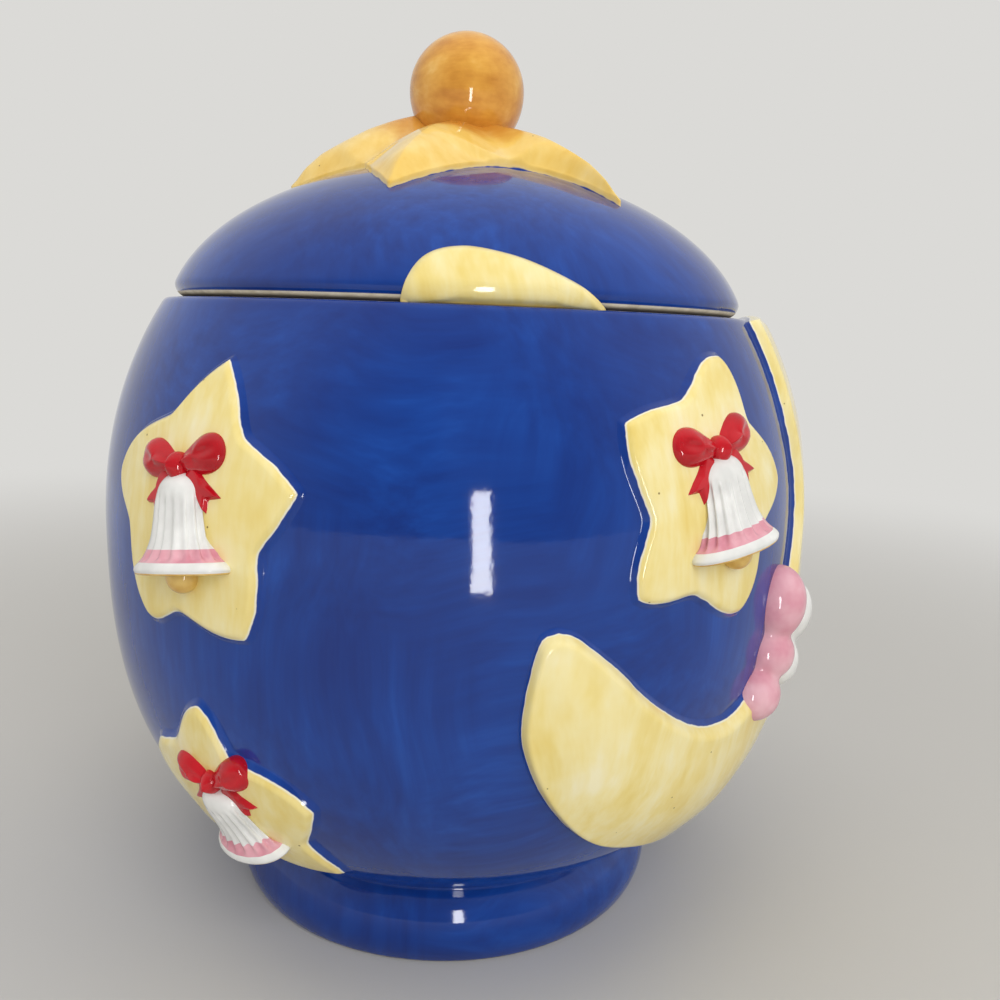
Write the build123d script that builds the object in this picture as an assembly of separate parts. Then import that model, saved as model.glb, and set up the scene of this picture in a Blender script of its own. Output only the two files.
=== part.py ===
"""Lidded earthenware biscuit jar: a round hollow jar, a domed lid with a ball knob, and moulded reliefs.

Millimetres and degrees. The origin is the middle of the foot's underside, +Z is up and the front is -Y.
An azimuth is measured round the jar from the front towards +X.
"""
from build123d import *
import os
from math import cos, hypot, radians, sin

# ---------------------------------------------------------------- driving dimensions
# Jar, outside: a swell that is widest at the belly and closes in towards the shoulder and the bowl
belly_radius = 115.0
belly_height = 128.0
shoulder_reach = 121.5  # above the belly, to where the shoulder's curve would close
shoulder_fullness = 2.1
bowl_reach = 116.0  # below the belly, to where the bowl's curve would close
bowl_fullness = 2.67
rim_height = 198.5
groove_height = 23.6  # the waist between the bowl and the foot
groove_rounding = 2.4
rim_width = 8.2
rim_rounding = 1.8
jar_wall = 6.0
floor_height = 16.0
shoulder_joins = (0.3, 1)  # shares of the way up or down at which the outline's arcs meet
bowl_joins = (0.235, 0.593, 1)
# Foot
foot_radius = 74.4  # over its bulge
foot_bulge_height = 9.5
foot_contact_radius = 71.4
foot_ring_width = 8.0
foot_recess = 9.0
# Lid
lid_inset = 2.9  # its edge sits this far inside the jar's rim
lid_rise = 46.1  # from the rim to the crown
lid_edge_height = 4.6  # upright band at its edge
lid_edge_rounding = 4.2
lid_wall = 5.5
dome_start = 11.2  # the dome's curve starts this far above its widest level
dome_fullness = 1.88
dome_joins = (0.81, 0.42, 0)  # shares of the way up at which its arcs meet, from the crown down
flange_depth = 8.0  # ring that drops into the mouth
flange_width = 4.6
flange_clearance = 1.2
# Ball knob and the star it stands on
knob_radius = 19.2
knob_centre_rise = 23.6  # above the crown
knob_star_azimuths = (-18.0, 46.0, 118.0, 190.0, 262.0)
knob_star_tip_radius = 66.0
knob_star_waist_radius = 27.0
knob_star_edge = 1.2
# Radius and rise above the dome of its ridges, from the blunt end in, and of its valleys
knob_star_ridge = [(60.0, 4.8), (47.0, 8.6), (34.0, 11.6)]
knob_star_valley = (17.0, 6.2)
knob_star_apex_rise = 14.6  # where its ridges would meet, above the crown
# Star reliefs
star_relief = 3.2
star_tip_radius = 36.0
star_waist_radius = 24.5
star_tip_rounding = 2.0
star_waist_rounding = 14.0
# Each star's azimuth, height, lean and size
star_places = {
    "front_left": (-36.0, 143.5, -3.0, 1.0),
    "front_right": (36.5, 152.0, -16.0, 0.98),
    "low_left": (-33.5, 61.0, 5.0, 0.9),
    "side_left": (-104.0, 146.0, 9.0, 1.0),
    "back_right": (137.0, 148.0, 12.0, 0.98),
    "back_left": (-159.0, 151.0, -8.0, 1.0),
    "low_back": (-136.0, 62.0, -12.0, 0.9),
}
# Bell on each star, heights from the star's middle
bell_lean = 9.0
bell_top = 10.5
bell_mouth = -15.0
bell_mouth_radius = 15.5
bell_lip = 2.0
bell_flare = 0.6  # slope at which its side leaves the lip
bell_waist_radius = 9.4
bell_depth = 6.2
clapper_radius = 4.5
bow_height = 12.0
bow_loop = (7.8, 5.0, 4.4)  # half length, half height and depth
bow_spread = 20.0
bow_knot_radius = 3.5
ribbon_relief = 1.5
ribbon_width = 5.4
ribbon_drop = 14.0
ribbon_reach = 13.0
# Crescent moon: its edges from the lower horn's tip up to the rim, as azimuths and heights
moon_relief = 4.5
moon_cut = (0.5, 1.2)  # it is cut between these shares of the way from the jar's heart to the skin
moon_middle = (58.0, 120.0)
moon_horn = (11.0, 120.5)
moon_outer_edge = [(9.0, 99.0), (15.0, 68.0), (28.0, 51.0), (60.0, 42.0), (92.0, 62.0), (107.0, 112.0)]
moon_inner_edge = [(26.0, 101.0), (38.0, 87.5), (51.0, 93.0), (63.0, 124.0), (66.5, 158.0)]
moon_rim_azimuths = (64.0, 96.0)
# Its upper horn on the lid, as azimuths and heights above the rim
lid_moon_relief = 2.2
lid_moon_edge = [(-9.0, 2.0), (-6.0, 11.5), (0.5, 14.0), (10.0, 11.4), (16.0, 6.8), (20.5, 2.0)]
# Cloud puffs beside the crescent: azimuth, height, half width, half height and depth
pink_puffs = [(58.5, 115.0, 10.5, 11.5, 9.5), (57.0, 99.5, 9.0, 8.5, 8.5), (54.0, 88.0, 9.5, 8.5, 8.5)]
white_puffs = [(70.0, 106.0, 12.5, 11.5, 9.5), (65.5, 92.0, 10.5, 9.0, 8.5)]

rim_radius = belly_radius * (1 - ((rim_height - belly_height) / shoulder_reach) ** shoulder_fullness) ** (
    1 / shoulder_fullness
)
mouth_radius = rim_radius - rim_width
lid_radius = rim_radius - lid_inset
lid_edge_top = rim_height + lid_edge_height
crown_height = rim_height + lid_rise
dome_reach = crown_height - lid_edge_top + dome_start
dome_widest = lid_radius / (1 - (dome_start / dome_reach) ** dome_fullness) ** 0.5
heart = Vector(0, 0, belly_height)


# ---------------------------------------------------------------- outlines of the jar and the lid
def swell_radius(height):
    """Radius of the jar's outside at a height."""
    above = height > belly_height
    reach, fullness = (shoulder_reach, shoulder_fullness) if above else (bowl_reach, bowl_fullness)
    return belly_radius * (1 - (abs(height - belly_height) / reach) ** fullness) ** (1 / fullness)


def dome_radius(height):
    """Radius of the lid's outside at a height."""
    share = max(height - lid_edge_top, 0) + dome_start
    return dome_widest * (1 - (share / dome_reach) ** dome_fullness) ** 0.5


def dome_height(radius):
    """Height of the lid's outside at a radius."""
    rise = dome_reach * (1 - (radius / dome_widest) ** 2) ** (1 / dome_fullness)
    return lid_edge_top - dome_start + rise


def tangent_arcs(start, direction, points):
    """Arcs that run smoothly from start through each point in turn."""
    arcs = []
    for point in points:
        arc = TangentArc(start, point, tangent=direction)
        arcs.append(arc)
        start, direction = arc @ 1, arc % 1
    return arcs


def beside(arcs, distance):
    """The same run of arcs, a distance to the left of the way it goes."""

    def moved(arc, share):
        way = arc % share
        return arc @ share + Vector(-way.Y, way.X) * distance

    return tangent_arcs(moved(arcs[0], 0), arcs[0] % 0, [moved(arc, 1) for arc in arcs])


def swell_arcs(end_height, shares):
    """Arcs from the belly to an end height, through shares of the way."""
    heights = [belly_height + share * (end_height - belly_height) for share in shares]
    way = (0, 1) if end_height > belly_height else (0, -1)
    return tangent_arcs((belly_radius, belly_height), way, [(swell_radius(h), h) for h in heights])


shoulder_arcs = swell_arcs(rim_height, shoulder_joins)
bowl_arcs = swell_arcs(groove_height, bowl_joins)
dome_heights = [lid_edge_top + share * (crown_height - lid_edge_top) for share in dome_joins]
dome_arcs = tangent_arcs((0, crown_height), (1, 0), [(dome_radius(h), h) for h in dome_heights])


def revolved(outline):
    """Solid of revolution about Z of a closed outline drawn as radius and height."""
    return revolve(Plane.XZ * make_face(outline), Axis.Z)


def jar_skin(stand_off):
    """Solid inside the jar's outside, pushed out by a stand-off."""
    up, down = beside(shoulder_arcs, -stand_off), beside(bowl_arcs, stand_off)
    low, high = down[-1] @ 1, up[-1] @ 1
    return revolved(up + down + [Polyline(low, (0, low.Y), (0, high.Y), high)])


def jar_layer(inside, outside):
    """Layer of the jar's outside between two stand-offs."""
    runs = [(beside(shoulder_arcs, -s), beside(bowl_arcs, s)) for s in (inside, outside)]
    ends = [Line(*(run[side][-1] @ 1 for run in runs)) for side in (0, 1)]
    return revolved([arc for run in runs for arcs in run for arc in arcs] + ends)


def lid_skin(stand_off):
    """Solid inside the lid's outside, pushed out by a stand-off."""
    over = beside(dome_arcs, stand_off)
    top, edge = over[0] @ 0, over[-1] @ 1
    return revolved(over + [Polyline(edge, (edge.X, rim_height), (0, rim_height), top)])


def standing_cylinder(radius, height):
    """Cylinder that stands on the ground."""
    return Cylinder(radius, height, align=(Align.CENTER, Align.CENTER, Align.MIN))


# ---------------------------------------------------------------- jar and lid
def make_jar_body():
    """Hollow jar: foot ring, groove, bowl, belly, shoulder and flat rim."""
    groove, shoulder = bowl_arcs[-1] @ 1, shoulder_arcs[-1] @ 1
    foot_side = ThreePointArc(groove, (foot_radius, foot_bulge_height), (foot_contact_radius, 0))
    ring_inside = foot_contact_radius - foot_ring_width
    recess = [(ring_inside, 0), (ring_inside, foot_recess), (0, foot_recess)]
    axis_side = Polyline((foot_contact_radius, 0), *recess, (0, rim_height), shoulder)
    outside = make_face(shoulder_arcs + bowl_arcs + [foot_side, axis_side])
    outside = fillet(outside.vertices().sort_by_distance(groove)[0], groove_rounding)
    outside = fillet(outside.vertices().sort_by_distance(shoulder)[0], rim_rounding)

    up, down = beside(shoulder_arcs, jar_wall), beside(bowl_arcs, -jar_wall)
    bowl_end, way, top = down[-1] @ 1, down[-1] % 1, up[-1] @ 1
    floor_radius = bowl_end.X - (bowl_end.Y - floor_height) * (1 + abs(way.X)) / abs(way.Y)
    floor_edge = (floor_radius, floor_height)
    floor_arc = TangentArc(bowl_end, floor_edge, tangent=way)
    hollow = revolved(up + down + [floor_arc, Polyline(floor_edge, (0, floor_height), (0, top.Y), top)])
    mouth = Pos(0, 0, rim_height) * Cylinder(mouth_radius, 4 * jar_wall)
    return revolve(Plane.XZ * outside, Axis.Z) - hollow - mouth


def make_lid_dome():
    """Hollow domed lid with a rounded edge and a ring that drops into the jar's mouth."""
    corner = (lid_radius, rim_height)
    inside_line = Polyline((lid_radius, lid_edge_top), corner, (0, rim_height), (0, crown_height))
    outside = make_face(dome_arcs + [inside_line])
    outside = fillet(outside.vertices().sort_by_distance(corner)[0], lid_edge_rounding)
    ring_outside = mouth_radius - flange_clearance
    ring_bottom = rim_height - flange_depth
    ring = Pos(0, 0, ring_bottom) * standing_cylinder(ring_outside, flange_depth)
    bore = Pos(0, 0, ring_bottom) * standing_cylinder(ring_outside - flange_width, 2 * lid_rise)
    under = beside(dome_arcs, -lid_wall)
    top, edge = under[0] @ 0, under[-1] @ 1
    hollow = revolved(under + [Polyline(edge, (edge.X, ring_bottom), (0, ring_bottom), top)])
    return revolve(Plane.XZ * outside, Axis.Z) + ring - (hollow & bore)


def make_knob():
    """Ball that the lid is lifted by."""
    return Pos(0, 0, crown_height + knob_centre_rise) * Sphere(knob_radius)


def above_dome(azimuth, radius, rise):
    """Point at an azimuth and radius, a rise above the lid's outside."""
    return around(azimuth, radius, dome_height(radius) + rise)


def make_knob_star(knob):
    """Five ridged arms with blunt ends that rise from the lid's dome to the ball."""
    following = knob_star_azimuths[1:] + (knob_star_azimuths[0] + 360,)
    valleys = [(azimuth + after) / 2 for azimuth, after in zip(knob_star_azimuths, following)]
    corners = []
    for azimuth, between in zip(knob_star_azimuths, valleys):
        corners += [around(azimuth, knob_star_tip_radius, 0), around(between, knob_star_waist_radius, 0)]
    edge = []  # runs round the star, two points to each of its sides
    for k, corner in enumerate(corners):
        for point in (corner, (corner + corners[(k + 1) % len(corners)]) / 2):
            edge.append(Vector(point.X, point.Y, dome_height(hypot(point.X, point.Y)) + knob_star_edge))
    foot = [Vector(point.X, point.Y, rim_height) for point in edge]
    facets = [foot] + [[edge[k - 1], edge[k], foot[k], foot[k - 1]] for k in range(len(edge))]
    apex = Vector(0, 0, crown_height + knob_star_apex_rise)
    for k, azimuth in enumerate(knob_star_azimuths):
        tip_at = 4 * k
        end, hump, neck = [above_dome(azimuth, *place) for place in knob_star_ridge]
        for side, between in ((-1, valleys[k - 1]), (1, valleys[k])):
            brink, waist = edge[tip_at + side], edge[tip_at + 2 * side]
            valley = above_dome(between, *knob_star_valley)
            facets += [(edge[tip_at], end, brink), (end, hump, brink), (hump, neck, brink)]
            facets += [(brink, neck, waist), (waist, neck, valley), (valley, neck, apex)]
    return Solid(Shell([Face(Wire.make_polygon(facet)) for facet in facets])) - lid_solid - knob


# ---------------------------------------------------------------- reliefs
def around(azimuth, radius, height):
    """Point at an azimuth, radius and height."""
    return Vector(radius * sin(radians(azimuth)), -radius * cos(radians(azimuth)), height)


def seat_plane(azimuth, height, lean=0.0):
    """Plane that touches the jar's outside, its Y running up the jar."""
    seat = around(azimuth, swell_radius(height), height)
    sideways = Vector(cos(radians(azimuth)), sin(radians(azimuth)), 0)
    return Plane(seat, x_dir=sideways, z_dir=seat - heart).rotated((0, 0, lean))


def flat_points(plane, points):
    """Points in space as a plane's own two coordinates."""
    return [(p.X, p.Y) for p in (plane.to_local_coords(point) for point in points)]


def star_outline():
    """Five-pointed star with rounded tips and waists, one tip up."""
    radii = [star_tip_radius, star_waist_radius] * 5
    corners = [(r * cos(radians(90 + 36 * k)), r * sin(radians(90 + 36 * k))) for k, r in enumerate(radii)]
    face = make_face(Polyline(corners, close=True))
    middle = (star_tip_radius + star_waist_radius) / 2
    face = fillet([v for v in face.vertices() if Vector(*v).length < middle], star_waist_rounding)
    return fillet([v for v in face.vertices() if Vector(*v).length > middle], star_tip_rounding)


def pushed_relief(outline, plane, layer):
    """What an outline pushed through its seat plane cuts from a layer of the jar's or the lid's outside."""
    return extrude(plane * outline, star_tip_radius / 2, both=True) & layer


def make_moon():
    """Crescent that wraps the jar from its lower horn round to the rim, its sides square to the skin."""
    plane = seat_plane(*moon_middle)
    distance = (plane.origin - heart).length

    def drawn(azimuth, height):
        ray = around(azimuth, swell_radius(height), height) - heart
        return heart + ray * (distance / ray.dot(plane.z_dir))

    low, high = moon_rim_azimuths
    over = rim_height + moon_relief
    outer = flat_points(plane, [drawn(*p) for p in [moon_horn, *moon_outer_edge, (high, over)]])
    inner = flat_points(plane, [drawn(*p) for p in [moon_horn, *moon_inner_edge, (low, over)]])
    outline = make_face([Spline(outer), Spline(inner), Line(outer[-1], inner[-1])])
    sections = [plane.offset((share - 1) * distance) * scale(outline, by=share) for share in moon_cut]
    under_rim = standing_cylinder(2 * belly_radius, rim_height - rim_rounding)
    return loft(sections, ruled=True) & (jar_layer(0, moon_relief) & under_rim)


def make_lid_moon():
    """The crescent's upper horn, on the edge of the lid."""
    middle = lid_moon_edge[len(lid_moon_edge) // 2]
    height = rim_height + middle[1] / 2
    seat = around(middle[0] / 2, dome_radius(height), height)
    plane = Plane(seat, x_dir=(1, 0, 0), z_dir=seat - Vector(0, 0, rim_height - lid_rise))
    heights = [(azimuth, rim_height + rise) for azimuth, rise in lid_moon_edge]
    points = flat_points(plane, [around(azimuth, dome_radius(h), h) for azimuth, h in heights])
    outline = make_face([Spline(points), Line(points[-1], points[0])])
    return pushed_relief(outline, plane, lid_skin(lid_moon_relief) - lid_solid)


def egg(half_width, half_height, depth):
    """Ball stretched to three half sizes."""
    return scale(Sphere(1), by=(half_width, half_height, depth))


def make_puffs(puffs):
    """Cloud puffs that stand on the jar."""
    eggs = [seat_plane(azimuth, height) * egg(*sizes) for azimuth, height, *sizes in puffs]
    return (eggs[0] + eggs[1:]) - jar_solid - pieces["crescent_moon"]


def make_bell(plane, size):
    """Flared bell with its clapper, half sunk in its star."""
    lip_top = bell_mouth + bell_lip
    waist = (bell_waist_radius, (bell_top + bell_mouth) / 2 + bell_lip)
    side = TangentArc((bell_mouth_radius, lip_top), waist, tangent=(-1, bell_flare))
    crown = TangentArc(waist, (0, bell_top), tangent=side % 1)
    clapper = CenterArc((0, bell_mouth), clapper_radius, -90, 90)
    ends = [
        Polyline((clapper_radius, bell_mouth), (bell_mouth_radius, bell_mouth), (bell_mouth_radius, lip_top)),
        Line((0, bell_top), (0, bell_mouth - clapper_radius)),
    ]
    round_bell = revolve(make_face([side, crown, clapper] + ends), Axis.Y)
    flattened = scale(round_bell, by=(size, size, size * bell_depth / bell_mouth_radius))
    return plane * flattened - star_solid


def make_bow(plane, size, bell):
    """Ribbon bow over the bell: two loops, a knot and two notched tails."""
    bow = Pos(0, bow_height, 0) * Sphere(bow_knot_radius)
    for side in (-1, 1):
        loop = Rot(0, 0, side * bow_spread) * Pos(side * bow_loop[0], 0, 0) * egg(*bow_loop)
        bow += Pos(0, bow_height, 0) * loop
    bow = plane * scale(bow, by=size) - star_solid
    for side in (-1, 1):
        end_x, end_y = side * ribbon_reach, bow_height - ribbon_drop
        notch = (end_x, end_y + ribbon_width / 2)
        tail = Polyline(
            (0, bow_height),
            (end_x - ribbon_width / 2, end_y),
            notch,
            (end_x + ribbon_width / 2, end_y + ribbon_width / 4),
            (side * ribbon_width, bow_height),
            close=True,
        )
        bow += pushed_relief(scale(make_face(tail), by=size), plane, ribbon_layer)
    return bow - bell


# ---------------------------------------------------------------- every piece, by name
jar_solid = jar_skin(0)
star_solid = jar_skin(star_relief)
star_layer = jar_layer(0, star_relief)
ribbon_layer = jar_layer(star_relief, star_relief + ribbon_relief)
lid_solid = lid_skin(0)
pieces = {"jar_body": make_jar_body(), "lid_dome": make_lid_dome(), "knob": make_knob()}
pieces["knob_star"] = make_knob_star(pieces["knob"])
pieces["lid_moon"] = make_lid_moon()
pieces["crescent_moon"] = make_moon()
pieces["cloud_pink"] = make_puffs(pink_puffs)
pieces["cloud_white"] = make_puffs(white_puffs) - pieces["cloud_pink"]
for name, (azimuth, height, lean, size) in star_places.items():
    seat = seat_plane(azimuth, height, lean)
    on_star = seat_plane(azimuth, height, bell_lean).offset(star_relief)
    bell = make_bell(on_star, size)
    pieces[f"star_{name}"] = pushed_relief(scale(star_outline(), by=size), seat, star_layer)
    pieces[f"bell_{name}"] = bell
    pieces[f"bow_{name}"] = make_bow(on_star, size, bell)

os.makedirs("parts", exist_ok=True)
for name, piece in pieces.items():
    export_step(piece, f"parts/{name}.step")
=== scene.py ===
"""Glazed earthenware biscuit jar with a domed lid, raised stars, a crescent, bells, clouds and a ball knob.

Sizes are millimetres and degrees until a piece is made, where they become metres. An azimuth runs from the
front, -Y, towards +X.
"""
import math

import bmesh
import bpy
import numpy as np
from mathutils import Matrix, Vector


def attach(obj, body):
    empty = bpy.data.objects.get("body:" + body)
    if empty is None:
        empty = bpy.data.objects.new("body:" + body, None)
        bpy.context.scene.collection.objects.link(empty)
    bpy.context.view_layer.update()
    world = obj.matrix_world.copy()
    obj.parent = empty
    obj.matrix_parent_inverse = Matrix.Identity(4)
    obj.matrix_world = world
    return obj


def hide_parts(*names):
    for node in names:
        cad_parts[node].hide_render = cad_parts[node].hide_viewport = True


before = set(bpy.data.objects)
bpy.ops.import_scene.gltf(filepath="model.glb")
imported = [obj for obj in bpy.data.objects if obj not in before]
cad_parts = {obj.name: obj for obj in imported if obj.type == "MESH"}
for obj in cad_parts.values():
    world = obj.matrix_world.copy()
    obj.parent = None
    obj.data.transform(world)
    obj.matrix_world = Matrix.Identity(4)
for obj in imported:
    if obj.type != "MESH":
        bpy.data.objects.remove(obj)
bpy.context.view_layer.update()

MM = 0.001

# ---- driving sizes, as the solids have them
BELLY_RADIUS = 115.0
BELLY_HEIGHT = 128.0
SHOULDER_REACH = 121.5
SHOULDER_FULLNESS = 2.1
BOWL_REACH = 116.0
BOWL_FULLNESS = 2.67
RIM_HEIGHT = 198.5
RIM_WIDTH = 8.2
GROOVE_HEIGHT = 23.6
JAR_WALL = 6.0
FLOOR_HEIGHT = 16.0
FOOT_RADIUS = 74.4
FOOT_BULGE_HEIGHT = 9.5
FOOT_CONTACT_RADIUS = 71.4
FOOT_RING_WIDTH = 8.0
FOOT_RECESS = 9.0
LID_INSET = 2.9
LID_RISE = 46.1
LID_EDGE_HEIGHT = 4.6
LID_EDGE_ROUNDING = 4.2
LID_WALL = 5.5
DOME_START = 11.2
DOME_FULLNESS = 1.88
FLANGE_DEPTH = 8.0
FLANGE_WIDTH = 4.6
FLANGE_CLEARANCE = 1.2
KNOB_RADIUS = 19.2
KNOB_CENTRE_HEIGHT = 268.2

RIM_SHARE = (RIM_HEIGHT - BELLY_HEIGHT) / SHOULDER_REACH
RIM_RADIUS = BELLY_RADIUS * (1 - RIM_SHARE**SHOULDER_FULLNESS) ** (1 / SHOULDER_FULLNESS)
MOUTH_RADIUS = RIM_RADIUS - RIM_WIDTH
LID_RADIUS = RIM_RADIUS - LID_INSET
LID_EDGE_TOP = RIM_HEIGHT + LID_EDGE_HEIGHT
DOME_REACH = LID_RISE - LID_EDGE_HEIGHT + DOME_START
DOME_WIDEST = LID_RADIUS / (1 - (DOME_START / DOME_REACH) ** DOME_FULLNESS) ** 0.5
HEART = np.array([0.0, 0.0, BELLY_HEIGHT])

# Three hand-cut star outlines: each tip's angle, radius and sharpness, and each waist's angle and radius
TALL_STAR = (
    [(83, 40.0, 0.9), (166, 35.3, 0.2), (240, 34.4, 0.2), (304, 35.0, 0.7), (376, 34.0, 0.9)],
    [(115, 27.0), (194, 26.3), (265, 26.0), (345, 24.8), (412, 26.5)],
)
BROAD_STAR = (
    [(75, 38.3, 0.2), (145, 35.1, 0.8), (221, 36.0, 0.4), (289, 34.2, 0.3), (365, 31.8, 0.4)],
    [(113, 27.2), (188, 25.1), (250, 26.6), (331, 22.4), (409, 25.1)],
)
SMALL_STAR = (
    [(97, 31.3, 0.3), (164, 31.8, 0.4), (238, 33.0, 0.5), (314, 36.0, 0.9), (370, 27.8, 0.8)],
    [(133, 24.2), (202, 23.5), (276, 22.0), (339, 23.0), (432, 18.8)],
)
# Each star's azimuth, height, lean, outline, and the size of its bell
STARS = {
    "front_left": (-36.0, 143.5, 0.0, TALL_STAR, 1.0),
    "front_right": (37.4, 152.0, 0.0, BROAD_STAR, 1.0),
    "low_left": (-33.5, 61.0, 0.0, SMALL_STAR, 0.9),
    "side_left": (-104.0, 146.0, 9.0, TALL_STAR, 1.0),
    "back_right": (137.0, 148.0, 12.0, BROAD_STAR, 1.0),
    "back_left": (-159.0, 151.0, -8.0, TALL_STAR, 1.0),
    "low_back": (-136.0, 62.0, -12.0, SMALL_STAR, 0.9),
}
STAR_RELIEF = 2.7
STAR_THINNING = 0.22  # share of its relief lost at its tips, from the first of these radii to the second
STAR_THINNING_RADII = (24.0, 38.0)
STAR_PILLOW = 0.7  # extra rise of its middle, gone at this radius
STAR_PILLOW_RADIUS = 26.0

# Crescent: azimuth and height along its outer and inner edges, from the lower horn to the rim
MOON_MIDDLE = (58.0, 120.0)
MOON_OUTER = [
    (13.0, 120.9), (11.2, 119.6), (10.3, 115.5), (9.2, 103.0), (9.4, 91.2), (12.9, 75.5), (20.5, 58.8),
    (31.0, 49.5), (60.0, 42.0), (92.0, 62.0), (107.0, 112.0), (103.0, 160.0), (96.0, 197.0),
]
MOON_INNER = [
    (13.0, 120.9), (14.9, 119.8), (17.0, 117.0), (21.4, 109.8), (26.3, 100.6), (32.0, 92.6), (38.2, 87.2),
    (46.0, 86.5), (55.0, 97.0), (64.0, 124.0), (67.6, 147.0), (65.0, 171.0), (64.5, 197.0),
]
MOON_SPINE = (0.16, 0.95)  # stretch of its length that has its highest line
MOON_RELIEF = 3.9
MOON_CROWN = 1.1  # extra rise far inside its edge, full at this depth
MOON_CROWN_DEPTH = 26.0

# The crescent's upper horn on the lid's edge, azimuth and height
LID_MOON_MIDDLE = (6.0, 203.5)
LID_MOON_EDGE = [
    (-9.6, 199.0), (-7.4, 207.2), (-4.6, 211.0), (0.0, 212.5), (5.0, 211.8), (11.0, 209.5), (18.0, 204.8),
    (24.6, 199.0),
]
LID_MOON_SPINE = (-7.0, 10.0)  # ends of its highest line, along the edge from its middle
LID_MOON_RELIEF = 2.4

# Star under the knob: its edge as azimuth and radius, its arms' azimuths and heights against the first arm's,
# and radius and rise above the dome along its ridges and valleys
KNOB_STAR_EDGE = [
    (-18, 66), (-14.5, 61), (-7, 51.5), (2, 43), (11, 38), (20, 36), (28, 37.4), (35, 42), (39.5, 50),
    (41.5, 58), (42.5, 67), (50, 57), (64, 45), (80, 39), (98, 44), (110, 56), (118, 66), (126, 55),
    (140, 43), (154, 38.5), (168, 43), (182, 55), (190, 66), (198, 55), (214, 43), (230, 38.5), (249, 41),
    (265, 50), (275, 57), (283, 50), (294, 42), (307, 38), (318, 44), (330, 53),
]
KNOB_STAR_RIM = [-0.7, -0.45, -0.2, 0.0, 0.2, 0.45, 0.75, 1.2]  # depths of the close rows at its edge
KNOB_STAR_ARMS = [(-18, 1.0), (42.5, 1.0), (118, 1.0), (190, 1.1), (275, 1.36)]
ARM_RIDGE = [
    (11, 14.6), (15, 12.9), (18, 12.4), (25, 11.6), (34, 10.3), (43, 8.5), (52, 6.7), (59, 4.5), (63, 2.6),
    (66, 1.6),
]
ARM_VALLEY = [(11, 13.0), (15, 11.2), (20, 9.2), (27, 6.4), (33, 3.8), (38.5, 1.6)]
ARM_SHARPNESS = 0.45  # of the ridges, none at the first of these radii and full at the second
ARM_SHARPENING = (16.0, 42.0)

# Bell, from its star's middle: its side as half width and height, its rose band and its clapper
BELL_LEAN = 9.0
BELL_TOP = 10.5
BELL_MOUTH = -15.0
BELL_MOUTH_RADIUS = 15.5
CLAPPER_RADIUS = 4.5
BELL_SIDE = [
    (0.0, BELL_TOP), (4.0, BELL_TOP - 0.6), (7.0, BELL_TOP - 3.0), (8.6, BELL_TOP - 7.2), (9.4, -2.0),
    (10.6, -6.8), (12.8, -10.6), (BELL_MOUTH_RADIUS, BELL_MOUTH + 1.8),
    (BELL_MOUTH_RADIUS + 0.2, BELL_MOUTH + 0.6), (BELL_MOUTH_RADIUS - 1.3, BELL_MOUTH - 0.2),
    (CLAPPER_RADIUS + 3.3, BELL_MOUTH + 0.8), (0.0, BELL_MOUTH + 1.0),
]
BELL_BAND = (BELL_MOUTH + 3.0, BELL_MOUTH + 6.0)
BELL_FULLNESS = 0.54  # half depth against half width
BELL_FLUTES = 9
BELL_FLUTE_DEPTH = 0.16  # share of the radius
BELL_FLUTE_TOP = (1.5, 6.5)  # heights between which the flutes fade out at the top, and at the bottom
BELL_FLUTE_BOTTOM = (BELL_MOUTH + 2.6, BELL_MOUTH + 4.6)
CLAPPER_HEIGHT = BELL_MOUTH - 0.6

# Bow over the bell: half lengths and half heights of a loop and of the knot, and a tail's outline. The right
# loop's and tail's places are measured from the knot, and their turns are anticlockwise.
BOW_HEIGHT = 12.0
BOW_LOOP = (7.8, 4.9)
BOW_LOOP_PLACE = (7.4, 1.9)
BOW_LOOP_TURN = 17.0
BOW_KNOT = (3.0, 3.5)
BOW_TAIL_PLACE = (7.6, -6.0)
BOW_TAIL_TURN = 40.0
BOW_TAIL = [(-2.4, 7.0), (2.4, 7.0), (3.2, -3.0), (3.4, -6.2), (0.2, -4.2), (-3.0, -6.2), (-3.0, -3.0)]

# Cloud puffs beside the crescent: azimuth, height, half width, half height and depth
PINK_PUFFS = [(57.8, 114.8, 9.2, 12.0, 9.2), (57.0, 99.5, 9.0, 8.5, 8.5), (54.0, 88.0, 9.5, 8.5, 8.5)]
WHITE_PUFFS = [(70.0, 106.0, 12.5, 11.5, 9.5), (65.5, 92.0, 10.5, 9.0, 8.5)]

# Rows of points on a relief's slope and shoulder, as depths inside its edge, and on to its middle, as shares
SKIRT = [-2.2, -1.8, -1.4, -1.05, -0.7, -0.35, 0.0]
SHOULDER = [0.35, 0.7, 1.1, 1.6, 2.2, 3.0, 4.0]
BOW_SHOULDER = [0.0, 0.2, 0.45, 0.8, 1.2]
INWARD = [0.12, 0.28, 0.46, 0.64, 0.82, 1.0]
# Depths at the foot and at the top of each kind of relief's slope
SLOPE = (-2.1, 1.9)
MOON_SLOPE = (-2.1, 3.6)
LID_MOON_SLOPE = (-1.6, 2.6)
KNOB_STAR_SLOPE = (-0.7, 0.5)
BEDDING = 0.1  # a relief's edge lies this deep in the skin
BACK_SINK = 1.5  # its hidden back lies this deep
BACK_DEPTH = 5.0  # the back counts as this far outside the edge when it is coloured

OUT_OF_ROUND_SCALE = 18.0  # of the noise that makes a thrown form uneven
GLOSS_ROUGHNESS = 0.06
FLOOR_COVE = (12.0, 3.0)  # width of each half of the cove round the floor, and its height between them
FLAT = 0.25  # a face whose middle is this near the table or the rim's top is bare
RIM_GLAZE = 0.6  # how far the blue glaze runs in under the lid's edge
LID_BARE_BAND = 1.7  # height of the bare band on the lid's lower edge


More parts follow.
